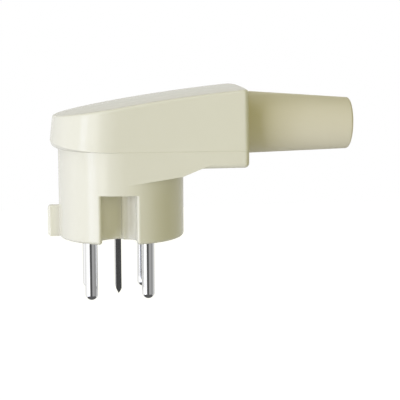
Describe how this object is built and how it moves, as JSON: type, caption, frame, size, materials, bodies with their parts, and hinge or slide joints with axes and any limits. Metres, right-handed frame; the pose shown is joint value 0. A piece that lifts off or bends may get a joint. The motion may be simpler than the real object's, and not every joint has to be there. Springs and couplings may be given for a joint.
{
  "type": "angled five-pin three-phase plug",
  "caption": "Angled three-phase mains plug: round grooved pin insert, sloped moulded housing, round pins round a flat earth blade, and a conical bend sleeve for the cord.",
  "frame": {"origin": "centre of the round pins' rectangle, on the pin face", "axes": "pins point to -Z, the cord leaves towards +X, the plug is the same on both sides of the XZ plane"},
  "size_m": [0.1209, 0.0494, 0.0828],
  "materials": {
    "housing_plastic": "ivory moulding, soft gloss",
    "cover_plastic": "ivory moulding, soft gloss",
    "sleeve_rubber": "ivory soft moulding, matt",
    "pin_metal": "bright nickel plating",
    "blade_metal": "drawn strip, nickel plated",
    "screw_steel": "zinc plated",
    "inner_brass": "turned or stamped brass",
    "inner_plastic": "dark insulating moulding"
  },
  "bodies": {
    "root": {"lower_housing": "housing_plastic", "top_cover": "cover_plastic", "bend_sleeve": "sleeve_rubber", "phase_pin_1": "pin_metal", "phase_pin_2": "pin_metal", "phase_pin_3": "pin_metal", "neutral_pin": "pin_metal", "earth_blade": "blade_metal", "contact_retainer": "inner_plastic", "retainer_screws": "screw_steel", "terminal_screws": "screw_steel", "wire_pressure_plates": "screw_steel", "earth_clamp_plate": "inner_brass", "earth_terminal_screw": "screw_steel", "earth_terminal_nut": "inner_brass", "cord_clamp_base": "inner_plastic", "cord_clamp_bar": "inner_plastic", "cord_clamp_screws": "screw_steel", "cord_clamp_nuts": "screw_steel", "cover_screws": "screw_steel", "cover_screw_inserts": "inner_brass"}
  },
  "joints": []
}
